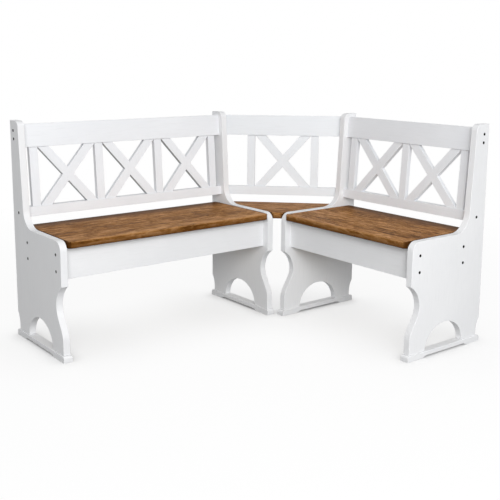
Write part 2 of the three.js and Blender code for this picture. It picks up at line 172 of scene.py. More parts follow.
class BenchColours(bpy.types.PropertyGroup):
    paint: FloatVectorProperty(
        name="White paint", description="Colour of the painted joinery",
        default=(0.862, 0.868, 0.878), **COLOUR)
    # Also the tone that the seats' painted shade darkens towards
    stain_dark: FloatVectorProperty(
        name="Stain, dark grain", description="Darkest streaks of the seat boards",
        default=(0.100, 0.034, 0.005), **COLOUR)
    stain_middle: FloatVectorProperty(
        name="Stain, body", description="Main colour of the seat boards",
        default=(0.340, 0.145, 0.035), **COLOUR)
    stain_light: FloatVectorProperty(
        name="Stain, light grain", description="Lightest streaks of the seat boards",
        default=(0.62, 0.33, 0.14), **COLOUR)
    pine: FloatVectorProperty(
        name="Bare pine", description="Colour of the battens under the seats",
        default=(0.66, 0.44, 0.22), **COLOUR)
    plywood: FloatVectorProperty(
        name="Plywood", description="Colour of the bottoms of the boxes",
        default=(0.70, 0.53, 0.32), **COLOUR)
    zinc: FloatVectorProperty(
        name="Zinc plating", description="Colour of the hinges and their screws",
        default=(0.52, 0.51, 0.48), **COLOUR)
    # Near-black screw heads that fill the panels' recesses: dark screws, darkened further as a painted shade
    # of the deep recesses
    dark_steel: FloatVectorProperty(
        name="Dark steel", description="Colour of the screws in the end panels",
        default=(0.008, 0.008, 0.008), **COLOUR)


class BenchStage(bpy.types.PropertyGroup):
    left_power: FloatProperty(
        name="Left softbox", description="Power of the softbox in front on the left",
        default=168, min=0, unit="POWER")
    near_power: FloatProperty(
        name="Near softbox", description="Power of the softbox beside the camera",
        default=51, min=0, unit="POWER")
    front_power: FloatProperty(
        name="Front softbox", description="Power of the wide softbox in front on the right",
        default=32, min=0, unit="POWER")
    overhead_power: FloatProperty(
        name="Overhead softbox", description="Power of the softbox above",
        default=8, min=0, unit="POWER")
    room_light: FloatProperty(
        name="Room light", description="Strength of the even light from all sides", default=0.345, min=0)
    floor_lift: FloatProperty(
        name="Floor lift", description="How far the open floor is lifted towards white",
        default=0.93, min=0, max=1, subtype="FACTOR")
    contact_reach: FloatProperty(
        name="Contact shadow reach",
        description="How far the dark contact shadows reach from what stands on the floor",
        default=0.07, min=0.01, max=0.5, **LENGTH)
    pool_reach: FloatProperty(
        name="Pool shadow reach", description="How far the soft shadow pool under the seats reaches",
        default=0.45, min=0.05, max=2.0, **LENGTH)
    floor_bounce: FloatProperty(
        name="Floor bounce", description="How much light the floor throws back up at the bench",
        default=0.3, min=0, max=1, subtype="FACTOR")


# Node helpers

# Sockets that share their names with others, by number: a colour mix's and a random number's
MIX_INPUTS = (0, 6, 7)
MIX_COLOUR = 2
RANDOM_MOST = 3
RANDOM_NUMBER = 1


class Nodes:
    """Short ways to add nodes to the tree of a material, the world or a Geometry Nodes group."""

    def __init__(self, tree):
        self.tree = tree

    def link(self, source, target):
        self.tree.links.new(source, target)

    def fill(self, socket, value):
        """Links the socket to another node's, or sets it to a plain value."""
        if isinstance(value, bpy.types.NodeSocket):
            self.link(value, socket)
        else:
            socket.default_value = value

    def add(self, kind, **inputs):
        node = self.tree.nodes.new(kind)
        for name, value in inputs.items():
            self.fill(node.inputs[name.replace("_", " ")], value)
        return node

    def math(self, operation, first, second):
        node = self.tree.nodes.new("ShaderNodeMath")
        node.operation = operation
        self.fill(node.inputs[0], first)
        self.fill(node.inputs[1], second)
        return node.outputs["Value"]

    def distance(self, value, edge):
        return self.math("ABSOLUTE", self.math("SUBTRACT", value, edge), 0.0)

    def parts(self, vector):
        return self.add("ShaderNodeSeparateXYZ", Vector=vector).outputs

    def turned(self, direction):
        """Object coordinates, turned so that the grain lies along X."""
        source = self.add("ShaderNodeTexCoord").outputs["Object"]
        return self.add("ShaderNodeMapping", Vector=source, Rotation=TURNS[direction]).outputs["Vector"]

    def stretched(self, vector, scale):
        return self.add("ShaderNodeMapping", Vector=vector, Scale=scale).outputs["Vector"]

    def noise(self, vector, scale, detail, roughness=0.55, distortion=0.0):
        node = self.add("ShaderNodeTexNoise", Vector=vector, Scale=scale, Detail=detail,
                        Roughness=roughness, Distortion=distortion)
        return node.outputs["Fac"]

    def rings(self, vector, **amounts):
        """Bands across the grain, as the growth rings of a sawn board."""
        node = self.add("ShaderNodeTexWave", Vector=vector, **amounts)
        node.bands_direction = "Y"
        return node.outputs["Fac"]

    def spots(self, vector):
        return self.add("ShaderNodeTexVoronoi", Vector=vector, Scale=1.0).outputs["Distance"]

    def marked(self, attribute):
        node = self.add("ShaderNodeAttribute")
        node.attribute_name = attribute
        return node.outputs["Fac"]

    def spread(self, value, low, high, to_low, to_high):
        """Maps the range from low to high onto another one, and keeps within that."""
        node = self.add("ShaderNodeMapRange", Value=value, From_Min=low, From_Max=high,
                        To_Min=to_low, To_Max=to_high)
        return node.outputs["Result"]

    def ramp(self, value, stops):
        node = self.add("ShaderNodeValToRGB", Fac=value)
        ramp = node.color_ramp
        while len(ramp.elements) < len(stops):
            ramp.elements.new(0.5)
        for element, (place, colour) in zip(ramp.elements, stops):
            element.position = place
            element.color = (*colour, 1)
        return node.outputs["Color"]

    def mix(self, amount, first, second):
        """Mixes two colours, each a socket or a tuple."""
        node = self.tree.nodes.new("ShaderNodeMix")
        node.data_type = "RGBA"
        for number, value in zip(MIX_INPUTS, (amount, first, second)):
            self.fill(node.inputs[number], (*value, 1) if isinstance(value, tuple) else value)
        return node.outputs[MIX_COLOUR]

    def bump(self, finish, height, strength, distance):
        node = self.add("ShaderNodeBump", Height=height, Strength=strength, Distance=distance)
        self.link(node.outputs["Normal"], finish["Normal"])

    def seen(self):
        """One for what the camera sees, also by reflection or through glass, and zero for bounced light."""
        rays = self.add("ShaderNodeLightPath").outputs
        mirrored = self.math("MAXIMUM", rays["Is Glossy Ray"], rays["Is Transmission Ray"])
        return self.math("MAXIMUM", rays["Is Camera Ray"], mirrored)

    def blend(self, share, first, second):
        node = self.add("ShaderNodeMixShader", Fac=share)
        self.link(first, node.inputs[1])
        self.link(second, node.inputs[2])
        return node.outputs["Shader"]


def bare_nodes(owner, output):
    """Clears the nodes of a material or world, and gives it an output alone."""
    owner.use_nodes = True
    owner.node_tree.nodes.clear()
    n = Nodes(owner.node_tree)
    return n, n.add(output).inputs["Surface"]


def new_material(name, roughness, metallic=0.0, specular=0.5):
    """A material, its node helper and the sockets of its shader."""
    material = bpy.data.materials.new(name)
    n, surface = bare_nodes(material, "ShaderNodeOutputMaterial")
    shader = n.add("ShaderNodeBsdfPrincipled", Roughness=roughness, Metallic=metallic,
                   Specular_IOR_Level=specular)
    n.link(shader.outputs["BSDF"], surface)
    return material, n, shader.inputs


def shaded(colour, factor):
    return tuple(min(1, c * factor) for c in colour)


def tinted(colour, factors):
    return tuple(c * f for c, f in zip(colour, factors))


# The finishes

TURNS = {
    "x": (0, 0, 0),
    "y": (0, 0, -math.pi / 2),
    "z": (0, math.pi / 2, 0),
    "diagonal": (0, 0, math.pi / 4),
}

# The paint's tint, painted light and shade: a touch cooler on the backs to offset the warm light the seats
# bounce onto them, and a shade greyer on the corner back as a painted shade
PAINTED_SHADE_TINTS = {
    "ends": (1.0, 1.0, 1.0),
    "long": (0.985, 0.999, 1.018),
    "short": (0.985, 0.999, 1.018),
    "corner": (0.888, 0.911, 0.93),
}

# The glued-up boards of a seat: how wide one is, and how far the grain jumps from one to the next
BOARD_WIDTH = 0.074
BOARD_SHIFT = 5.0
BOARD_SEED = 3.7

# The layers of the stained grain: stretch, detail, roughness and distortion; then how much each of
# them, the rings and a board's own tone move the tone of the wood
GRAIN_LAYERS = {
    "streaks": ((6, 60, 60), 8, 0.68, 0.5),
    "mottle": ((15, 46, 46), 6, 0.7, 0.8),
    "flecks": ((52, 130, 130), 3, 0.6, 0.0),
    "pores": ((26, 640, 640), 3, 0.6, 0.0),
    "blotches": ((5.5, 12, 12), 4, 0.6, 0.0),
}
GRAIN_AMOUNTS = {"streaks": 1.3, "mottle": 1.5, "rings": 0.2, "blotches": 0.6, "board": 0.14}
RING_STRETCH = (0.9, 11, 11)

# Knots and dings: how they are stretched, and how far from its middle one is full and ends
KNOT_STRETCH = (4.2, 7, 1)
KNOT_REACH = (0.028, 0.075)
DING_STRETCH = (11, 26, 9)
DING_REACH = (0.05, 0.12)

# Rims of a seat board: each is full up to its first distance from the edge, in metres, and ends at its
# second. The rear rims are a painted shade and a painted shadow line under the back, the end rim is a painted
# shadow line in the gaps at the ends, and the front rim is a lighter edge
REAR_PAINTED_SHADE = (0.035, 0.12)
REAR_SHADOW_LINE = (0.006, 0.016)
END_SHADOW_LINE = (0.003, 0.009)
PALE_FRONT = (0.004, 0.02)

# The depths below the top of the board, in metres, where the lighter front edge ends and above which it is
# full
PALE_FRONT_DEPTH = (0.005, 0.002)

# The painted shade that darkens the sides towards the bottom, in metres: full up to this far above the
# underside, gone this far below the top
SIDE_PAINTED_SHADE_ABOVE = 0.002
SIDE_PAINTED_SHADE_BELOW = 0.004


def painted_wood(direction, place="ends"):
    """White satin paint, with the grain of the board just showing through."""
    name = f"white_paint_{place}_grain_{direction}"
    if name in bpy.data.materials:
        return bpy.data.materials[name]
    material, n, finish = new_material(name, roughness=0.4)
    turned = n.turned(direction)
    grained = n.stretched(turned, (5, 70, 70))
    broad = n.noise(turned, scale=3.2, detail=3)
    fine = n.noise(grained, scale=2.2, detail=6, roughness=0.66, distortion=0.3)
    brushed = n.noise(grained, scale=9, detail=3, roughness=0.5)
    # The place's tint paints shade: cooler backs offset warm bounced light, and the corner back is greyed as
    # a painted shade
    paint = tinted(bpy.context.scene.bench_colours.paint, PAINTED_SHADE_TINTS[place])
    dulled = tinted(paint, (0.955, 0.957, 0.962))
    colour = n.mix(n.spread(broad, 0.35, 0.68, 0, 1), dulled, paint)
    colour = n.mix(n.spread(fine, 0.5, 0.72, 0, 0.6), colour, shaded(paint, 0.92))
    # Painted shade: the marked undersides of the long back's bars are darkened towards a fifth of the paint's
    # colour
    colour = n.mix(n.math("MULTIPLY", n.marked("underside"), 0.6), colour, shaded(paint, 0.2))
    n.link(colour, finish["Base Color"])
    n.link(n.spread(broad, 0.3, 0.7, 0.36, 0.47), finish["Roughness"])
    height = n.math("ADD", fine, n.math("MULTIPLY", brushed, 0.4))
    n.bump(finish, height, strength=0.25, distance=0.0005)
    return material


def glued_boards(n, turned):
    """Coordinates that jump along the grain from board to board, and a number for each board."""
    parts = n.parts(turned)
    count = n.math("FLOOR", n.math("DIVIDE", parts["Y"], BOARD_WIDTH), 0.0)
    pick = n.add("ShaderNodeTexWhiteNoise")
    pick.noise_dimensions = "1D"
    n.link(n.math("ADD", count, BOARD_SEED), pick.inputs["W"])
    own = pick.outputs["Value"]
    along = n.math("ADD", parts["X"], n.math("MULTIPLY", own, BOARD_SHIFT))
    return n.add("ShaderNodeCombineXYZ", X=along, Y=parts["Y"], Z=parts["Z"]).outputs["Vector"], own


def seat_rims(n, node, direction, turned, mottle):
    """Shares of dark, deep and pale tone near the rims of a seat board, in the order they are laid: painted
    shade down the sides and along the rear, painted shadow lines at the rear and the ends, and a lighter
    front edge.
    """
    low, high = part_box(node)
    parts = n.parts(turned)
    # Painted shade: the sides darken towards the underside
    shade = n.spread(parts["Z"], low.z + SIDE_PAINTED_SHADE_ABOVE, high.z - SIDE_PAINTED_SHADE_BELOW, 0.85, 0)
    rims = [(shade, "dark")]
    if direction == "diagonal":
        place = n.parts(n.turned("x"))
        ends = n.math("SUBTRACT", place["X"], low.x), n.math("SUBTRACT", place["Y"], low.y)
    else:
        rear, front, first, last = (
            (high.y, low.y, low.x, high.x) if direction == "x" else (-high.x, -low.x, low.y, high.y))
        ends = n.math("SUBTRACT", parts["X"], first), n.math("SUBTRACT", last, parts["X"])
        from_rear = n.distance(parts["Y"], rear)
        # Painted shade and a painted shadow line along the rear, where the back shades the seat
        rims.append((n.spread(from_rear, *REAR_PAINTED_SHADE, 0.8, 0), "dark"))
        rims.append((n.spread(from_rear, *REAR_SHADOW_LINE, 0.8, 0), "deep"))
        # A lighter rim along the upper front edge, broken up by the mottle
        at_front = n.spread(n.distance(parts["Y"], front), *PALE_FRONT, 0.35, 0)
        on_top = n.spread(parts["Z"], *(high.z - depth for depth in PALE_FRONT_DEPTH), 0, 1)
        pale_front = n.math("MULTIPLY", at_front, on_top)
        rims.append((n.math("MULTIPLY", pale_front, n.spread(mottle, 0.4, 0.56, 0.1, 1)), "pale"))
    # Painted shadow line along the ends, in the gaps beside the panels
    rims.append((n.spread(n.math("MINIMUM", *ends), *END_SHADOW_LINE, 0.85, 0), "deep"))
    return rims


def stained_wood(node, direction):
    """Brown stain under lacquer on glued-up boards: grain, pores, knots and dings, a lighter front edge, and
    painted shade and shadow lines at the sides, rear, ends and front.
    """
    colours = bpy.context.scene.bench_colours
    material, n, finish = new_material(f"stained_{node}", roughness=0.36, specular=0.01)
    turned = n.turned(direction)
    board, own = glued_boards(n, turned)
    layers = {name: n.noise(n.stretched(board, stretch), 1, *rest)
              for name, (stretch, *rest) in GRAIN_LAYERS.items()}
    layers["rings"] = n.rings(n.stretched(board, RING_STRETCH), Scale=1.6, Distortion=7.0,
                              Detail=3.0, Detail_Scale=1.4)
    layers["board"] = own
    streaks, mottle, flecks, pores = (layers[name] for name in ("streaks", "mottle", "flecks", "pores"))

    grain = 0.5
    for name, amount in GRAIN_AMOUNTS.items():
        grain = n.math("ADD", n.math("MULTIPLY", n.math("SUBTRACT", layers[name], 0.5), amount), grain)
    colour = n.ramp(grain, (
        (0.18, colours.stain_dark), (0.5, colours.stain_middle), (0.82, colours.stain_light)))
    # Tones for the marks: dark serves only the painted shade of the sides and rear; deep serves pores, flecks
    # and knots, and the painted shadow lines; pale serves flecks, dings and the lighter front edge
    tones = {
        "dark": tuple(colours.stain_dark),
        "deep": shaded(colours.stain_dark, 0.5),
        "pale": shaded(colours.stain_light, 1.3),
    }
    marks = [
        (n.spread(pores, 0.58, 0.72, 0, 0.45), "deep"),
        (n.spread(flecks, 0.57, 0.72, 0, 0.5), "deep"),
        (n.spread(flecks, 0.42, 0.28, 0, 0.45), "pale"),
        (n.spread(n.spots(n.stretched(board, KNOT_STRETCH)), *KNOT_REACH, 0.7, 0), "deep"),
        (n.spread(n.spots(n.stretched(board, DING_STRETCH)), *DING_REACH, 0.6, 0), "pale"),
        *seat_rims(n, node, direction, turned, mottle),
        # A lighter tone on the marked upper front chamfer, flecked
        (n.math("MULTIPLY", n.marked("worn_edge"), n.spread(flecks, 0.42, 0.56, 0.1, 0.5)), "pale"),
        # Painted shade on the ends and on the front faces
        (n.math("MULTIPLY", n.marked("dark_end"), 0.85), "deep"),
    ]
    for share, tone in marks:
        colour = n.mix(share, colour, tones[tone])
    n.link(colour, finish["Base Color"])
    n.link(n.spread(streaks, 0.3, 0.7, 0.3, 0.46), finish["Roughness"])
    height = n.math("SUBTRACT", n.math("MULTIPLY", streaks, 0.6), n.math("MULTIPLY", pores, 0.5))
    n.bump(finish, height, strength=0.35, distance=0.0006)
    return material


def bare_wood(name, colour, direction, roughness, bands):
    """Unpainted board: pine with narrow rings, or plywood with wide figure."""
    if name in bpy.data.materials:
        return bpy.data.materials[name]
    material, n, finish = new_material(name, roughness, specular=0.35)
    turned = n.turned(direction)
    grained = n.stretched(turned, (2.6, 44, 44))
    streaks = n.noise(grained, scale=2, detail=6, roughness=0.6, distortion=0.4)
    rings = n.rings(n.stretched(turned, (0.7, bands, bands)), Scale=1.5, Distortion=5.0, Detail=2.0)
    fill = n.mix(n.spread(streaks, 0.34, 0.68, 0, 1), shaded(colour, 1.12), tuple(colour))
    fill = n.mix(n.spread(rings, 0.55, 1.0, 0, 0.5), fill, tinted(colour, (0.74, 0.66, 0.55)))
    n.link(fill, finish["Base Color"])
    n.link(n.spread(streaks, 0.3, 0.7, roughness - 0.06, roughness + 0.08), finish["Roughness"])
    n.bump(finish, streaks, strength=0.3, distance=0.0005)
    return material


def plated_steel(name, colour, roughness, metallic):
    """Pressed steel with a faintly clouded plating."""
    if name in bpy.data.materials:
        return bpy.data.materials[name]
    material, n, finish = new_material(name, roughness, metallic, specular=0.05)
    turned = n.turned("x")
    clouds = n.noise(turned, scale=90, detail=4)
    drawn = n.noise(n.stretched(turned, (220, 900, 900)), scale=1, detail=3)
    tone = n.mix(n.spread(clouds, 0.35, 0.7, 0, 1), tuple(colour), shaded(colour, 0.72))
    n.link(tone, finish["Base Color"])
    n.link(n.spread(clouds, 0.3, 0.7, roughness - 0.07, roughness + 0.12), finish["Roughness"])
    n.bump(finish, drawn, strength=0.15, distance=0.0002)
    return material


def zinc_plating():
    zinc = bpy.context.scene.bench_colours.zinc
    return plated_steel("zinc_plated_steel", zinc, roughness=0.36, metallic=0.9)


# Mesh helpers

def nodes_like(start, end=""):
    return sorted(n for n in frame["nodes"] if n.startswith(start) and n.endswith(end))


def centre_of(node):
    low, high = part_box(node)
    return (low + high) / 2


def copy_of(node):
    """The CAD node's mesh with its loose triangles joined into whole faces."""
    work = bmesh.new()
    work.from_mesh(frame["nodes"][node].data)
    bmesh.ops.remove_doubles(work, verts=work.verts, dist=SAME_POINT)
    bmesh.ops.dissolve_limit(work, angle_limit=FLAT, verts=work.verts, edges=work.edges)
    work.normal_update()
    return work


def direction_of(edge):
    return (edge.verts[1].co - edge.verts[0].co).normalized()


def upright_of(work):
    """Direction of the longest edge, pointing up: the lean of a slat."""
    direction = direction_of(max(work.edges, key=lambda e: e.calc_length()))
    return direction if direction.z > 0 else -direction


def ease(work, size, along=None, keep=(), steps=3):
    """Rounds the sharp edges, or only those that lie along a direction."""
    chosen = []
    for edge in work.edges:
        if edge in keep or len(edge.link_faces) != 2 or edge.calc_face_angle(0) < CORNER:
            continue
        if along is None or abs(direction_of(edge).dot(along)) > IN_LINE:
            chosen.append(edge)
    bmesh.ops.bevel(work, geom=chosen, offset=size, offset_type="OFFSET", segments=steps,
                    profile=0.5, affect="EDGES", clamp_overlap=True)


def groove_tops(work, upright, back, size):
    """Chamfers the front edge of the upper ends of a slat or of crossed bars."""
    top = max(v.co.dot(upright) for v in work.verts)
    ends = [e for e in work.edges if all(v.co.dot(upright) > top - NEAR for v in e.verts)]
    depth = {e: (e.verts[0].co + e.verts[1].co).dot(back) / 2 for e in ends}
    front = [e for e in ends if depth[e] < min(depth.values()) + NEAR]
    bmesh.ops.bevel(work, geom=front, offset=size, offset_type="OFFSET", segments=1,
                    affect="EDGES", clamp_overlap=True)


def plain_mesh(piece):
    """Turns what the modifiers make into the piece's own mesh, and takes the modifiers off."""
    graph = bpy.context.evaluated_depsgraph_get()
    made = bpy.data.meshes.new_from_object(
        piece.evaluated_get(graph), preserve_all_data_layers=True, depsgraph=graph)
    piece.modifiers.clear()
    piece.data = made
    made.name = piece.name


def add_to_scene(name, data):
    thing = bpy.data.objects.new(name, data)
    bpy.context.scene.collection.objects.link(thing)
    return thing


def new_object(name, work, material):
    mesh = bpy.data.meshes.new(name)
    work.to_mesh(mesh)
    work.free()
    mesh.shade_smooth()
    mesh.set_sharp_from_angle(angle=CREASE)
    mesh.materials.append(material)
    return add_to_scene(name, mesh)


def even_shading(piece):
    """Keeps the wide faces flat and lets only the eased edges look round."""
    weighted = piece.modifiers.new("Even shading", "WEIGHTED_NORMAL")
    weighted.keep_sharp = True
    weighted.weight = 100
    plain_mesh(piece)


def stand_in(piece, nodes):
    """Puts the piece in the place of CAD nodes of one body."""
    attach(piece, frame["nodes"][nodes[0]]["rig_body"])
    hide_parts(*nodes)


def place_board(node, work, name, material):
    """Puts one eased board or plate in the place of its CAD node."""
    piece = new_object(f"{name}_{node}", work, material)
    even_shading(piece)
    stand_in(piece, [node])


def eased_board(node, name, material, slot, easing, **how):
    work = copy_of(node)
    ease(work, easing, **how)
    place_board(node, work, name, material)


def painted_board(node, easing, grain, place="ends", along=None):
    eased_board(node, "painted", painted_wood(grain, place), "white_paint", easing, along=along)


def recess_floors(work):
    """The small round floors of the screw recesses in an end panel."""
    return [f for f in work.faces if len(f.verts) == RECESS_CORNERS and f.calc_area() < RECESS_FLOOR_AREA]


# Geometry Nodes trees

def new_tree(name, inputs):
    """A tree with the inputs, its node helper and the sockets of its group input."""
    tree = bpy.data.node_groups.new(name, "GeometryNodeTree")
    tree.is_modifier = True
    tree.interface.new_socket(name="Geometry", in_out="INPUT", socket_type="NodeSocketGeometry")
    for label, kind, default in inputs:
        socket = tree.interface.new_socket(name=label, in_out="INPUT", socket_type=kind)
        if default is not None:
            socket.default_value = default
    tree.interface.new_socket(name="Geometry", in_out="OUTPUT", socket_type="NodeSocketGeometry")
    n = Nodes(tree)
    return tree, n, n.add("NodeGroupInput").outputs


def put_on_points(n, points, shape, finish, **turn):
    """Ends a tree: the shape on each point, made real and given its finish."""
    placed = n.add("GeometryNodeInstanceOnPoints", Points=points, Instance=shape, **turn)
    real = n.add("GeometryNodeRealizeInstances", Geometry=placed.outputs["Instances"])
    finished = n.add("GeometryNodeSetMaterial", Geometry=real.outputs["Geometry"], Material=finish)
    n.add("NodeGroupOutput", Geometry=finished.outputs["Geometry"])


def apply_tree(piece, tree, values):
    """Sets the tree's inputs by their identifiers and turns its result into a plain mesh."""
    modifier = piece.modifiers.new(tree.name, "NODES")
    modifier.node_group = tree
    for item in tree.interface.items_tree:
        if item.in_out == "INPUT" and item.name in values:
            modifier[item.identifier] = values[item.name]
    plain_mesh(piece)


def row_tree():
    """Repeats one slat or one pair of crossed bars along a back."""
    name = "Row along a back"
    if name in bpy.data.node_groups:
        return bpy.data.node_groups[name]
    tree, n, given = new_tree(name, (
        ("Count", "NodeSocketInt", 2),
        ("Step", "NodeSocketVector", None),
        ("Finish", "NodeSocketMaterial", None),
    ))
    line = n.add("GeometryNodeMeshLine")
    line.mode = "OFFSET"
    n.link(given["Count"], line.inputs["Count"])
    n.link(given["Step"], line.inputs["Offset"])
    put_on_points(n, line.outputs["Mesh"], given["Geometry"], given["Finish"])
    return tree


def slotted_head(n, radius, height, crown):
    """A screw head with a cross of two slots."""
    head = n.add("GeometryNodeMeshCone", Vertices=SCREW_SIDES, Radius_Top=n.math("MULTIPLY", radius, crown),
                 Radius_Bottom=radius, Depth=height)
    cut = n.add("GeometryNodeMeshBoolean")
    cut.operation = "DIFFERENCE"
    n.link(head.outputs["Mesh"], cut.inputs["Mesh 1"])
    for across, upward in ((SLOT_LENGTH, SLOT_WIDTH), (SLOT_WIDTH, SLOT_LENGTH)):
        size = n.add("ShaderNodeCombineXYZ", X=n.math("MULTIPLY", radius, across),
                     Y=n.math("MULTIPLY", radius, upward), Z=height)
        slot = n.add("GeometryNodeMeshCube", Size=size.outputs["Vector"])
        lift = n.add("ShaderNodeCombineXYZ", Z=n.math("MULTIPLY", height, SLOT_LIFT))
        lifted = n.add("GeometryNodeTransform", Geometry=slot.outputs["Mesh"],
                       Translation=lift.outputs["Vector"])
        n.link(lifted.outputs["Geometry"], cut.inputs["Mesh 2"])
    return cut.outputs["Mesh"]


def screw_turn(n, seed):
    """Turns each head to face the way its point says, and a random way round."""
    facing = n.add("GeometryNodeInputNamedAttribute")
    facing.data_type = "FLOAT_VECTOR"
    facing.inputs["Name"].default_value = "facing"
    aimed = n.add("FunctionNodeAlignRotationToVector", Vector=facing.outputs["Attribute"])
    aimed.axis = "Z"
    angle = n.add("FunctionNodeRandomValue", Seed=seed)
    angle.data_type = "FLOAT"
    angle.inputs[RANDOM_MOST].default_value = math.pi / 2
    spin = n.add("FunctionNodeAxisAngleToRotation", Axis=UP, Angle=angle.outputs[RANDOM_NUMBER])
    turned = n.add("FunctionNodeRotateRotation", Rotation=aimed.outputs["Rotation"],
                   Rotate_By=spin.outputs["Rotation"])
    turned.rotation_space = "LOCAL"
    return turned.outputs["Rotation"]


def screw_tree():
    """Puts a cross-slotted screw head on each point, facing the way the point says."""
    name = "Screw heads"
    if name in bpy.data.node_groups:
        return bpy.data.node_groups[name]
    tree, n, given = new_tree(name, (
        ("Radius", "NodeSocketFloat", 0.0036),
        ("Height", "NodeSocketFloat", 0.0016),
        ("Crown", "NodeSocketFloat", SMALL_CROWN),
        ("Seed", "NodeSocketInt", 4),
        ("Finish", "NodeSocketMaterial", None),
    ))
    head = slotted_head(n, given["Radius"], given["Height"], given["Crown"])
    put_on_points(n, given["Geometry"], head, given["Finish"], Rotation=screw_turn(n, given["Seed"]))
    return tree


def screws(name, places, body, material, radius, height, crown=SMALL_CROWN):
    """One mesh of screw heads for one body; each place is a point and the way it faces."""
    mesh = bpy.data.meshes.new(name)
    mesh.from_pydata([tuple(point) for point, _ in places], [], [])
    attribute = mesh.attributes.new("facing", "FLOAT_VECTOR", "POINT")
    attribute.data.foreach_set("vector", [c for _, way in places for c in way])
    piece = add_to_scene(name, mesh)
    apply_tree(piece, screw_tree(), {
        "Radius": radius, "Height": height, "Crown": crown,
        "Seed": bpy.context.scene.bench_sizes.screw_seed, "Finish": material})
    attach(piece, body)
    return piece


# The pieces

class EndPanels(bpy.types.Operator):
    """Make the four end panels: thick boards with a rounded arm, a waisted front edge and an arch"""
    bl_idname = "corner_bench.end_panels"
    bl_label = "End panels"

    def execute(self, context):
        easing = context.scene.bench_sizes.panel_easing
        for node in [f"{bench}_{end}_end_panel" for bench in BENCHES for end in ENDS]:
            work = copy_of(node)
            kept = {e for f in recess_floors(work) for v in f.verts for e in v.link_edges}
            kept |= {e for k in list(kept) for v in k.verts for e in v.link_edges
                     if e.calc_length() < RECESS_SIDE}
            ease(work, easing, keep=kept)
            place_board(node, work, "painted", painted_wood("z"))
        return {"FINISHED"}


class FootRails(bpy.types.Operator):
    """Make the four foot rails under the end panels"""
    bl_idname = "corner_bench.foot_rails"
    bl_label = "Foot rails"

    def execute(self, context):
        easing = context.scene.bench_sizes.foot_easing
        for bench in BENCHES:
            for end in ENDS:
                painted_board(f"{bench}_{end}_foot_rail", easing, GRAIN_ACROSS[bench])
        return {"FINISHED"}


class BackRails(bpy.types.Operator):
    """Make the top and bottom rails of the three leaning backs"""
    bl_idname = "corner_bench.back_rails"
    bl_label = "Back rails"

    def execute(self, context):
        easing = context.scene.bench_sizes.rail_easing
        for row in ROWS:
            for rail in ("top", "bottom"):
                painted_board(f"{row}_{rail}_rail", easing, GRAIN_ALONG[row], row, along=ALONG[row])
        return {"FINISHED"}


def painted_row(piece, nodes, count, step, finish):
    """Repeats a slat or a cross along a back, in the place of its CAD nodes."""
    even_shading(piece)
    apply_tree(piece, row_tree(), {"Count": count, "Step": step, "Finish": finish})
    stand_in(piece, nodes)


class BackSlats(bpy.types.Operator):
    """Make the upright slats of the three backs, one row each"""
    bl_idname = "corner_bench.back_slats"
    bl_label = "Back slats"

    def execute(self, context):
        sizes = context.scene.bench_sizes
        for row in ROWS:
            nodes = nodes_like(f"{row}_back_slat_")
            work = copy_of(nodes[0])
            upright = upright_of(work)
            groove_tops(work, upright, BACK[row], sizes.joint_groove)
            ease(work, sizes.rail_easing, along=upright)
            finish = painted_wood("z", row)
            piece = new_object(f"painted_{row}_back_slats", work, finish)
            painted_row(piece, nodes, len(nodes), centre_of(nodes[1]) - centre_of(nodes[0]), finish)
        return {"FINISHED"}


def crossing(first, second):
    """Where two sloping edges, each given by its foot and its head, cross."""
    (foot, foot_height), (head, head_height) = first
    (other_foot, other_foot_height), (other_head, other_head_height) = second
    slope = (head - foot) / (head_height - foot_height)
    other_slope = (other_head - other_foot) / (other_head_height - other_foot_height)
    gap = other_foot - foot + slope * foot_height - other_slope * other_foot_height
    height = gap / (slope - other_slope)
    return foot + slope * (height - foot_height), height


def bar_edges(node, axes):
    """The near and the far long edge of a bar, each as its foot and its head, and its points' depths."""
    points = [axes @ v.co for v in frame["nodes"][node].data.vertices]
    low, high = min(p.y for p in points), max(p.y for p in points)
    foot = [p.x for p in points if p.y < low + NEAR]
    head = [p.x for p in points if p.y > high - NEAR]
    near = ((min(foot), low), (min(head), high))
    far = ((max(foot), low), (max(head), high))
    return near, far, [p.z for p in points]


def crossed_bars(rising, falling, across, upright, back, sizes):
    """One flush cross made from the two half-lapped bars of a field."""
    outward = across.cross(upright).normalized()
    upright = outward.cross(across).normalized()
    axes = Matrix((across, upright, outward))
    rise_near, rise_far, rise_depths = bar_edges(rising, axes)
    fall_near, fall_far, fall_depths = bar_edges(falling, axes)
    depths = rise_depths + fall_depths
    outline = [
        rise_near[0], rise_far[0], crossing(rise_far, fall_near),
        fall_near[0], fall_far[0], crossing(rise_far, fall_far),
        rise_far[1], rise_near[1], crossing(rise_near, fall_far),
        fall_far[1], fall_near[1], crossing(rise_near, fall_near),
    ]
    room = axes.inverted()
    work = bmesh.new()
    inner, outer = [[work.verts.new(room @ Vector((x, height, depth))) for x, height in outline]
                    for depth in (min(depths), max(depths))]
    work.faces.new(outer)
    work.faces.new(inner[::-1])
    for i in range(len(outline)):
        j = (i + 1) % len(outline)
        work.faces.new((inner[i], inner[j], outer[j], outer[i]))
    bmesh.ops.recalc_face_normals(work, faces=work.faces)
    groove_tops(work, upright, back, sizes.joint_groove)
    kept = set()
    for edge in work.edges:
        heights = [(axes @ v.co).y for v in edge.verts]
        if max(heights) - min(heights) < LEVEL or edge.calc_length() < 2 * sizes.joint_groove:
            kept.add(edge)
    ease(work, sizes.rail_easing, keep=kept)
    return work


def paint_shade_on_undersides(piece, row):
    """Marks the lower left faces of the long back's bars for a painted shade: their paint is darkened to
    stand in for the shade they lie in.
    """
    under = piece.data.attributes.new("underside", "FLOAT", "FACE")
    for face in piece.data.polygons:
        lower_left = face.normal.z < -LOOKS_AWAY and face.normal.x < -LOOKS_AWAY
        under.data[face.index].value = 1.0 if lower_left and row == "long" else 0.0


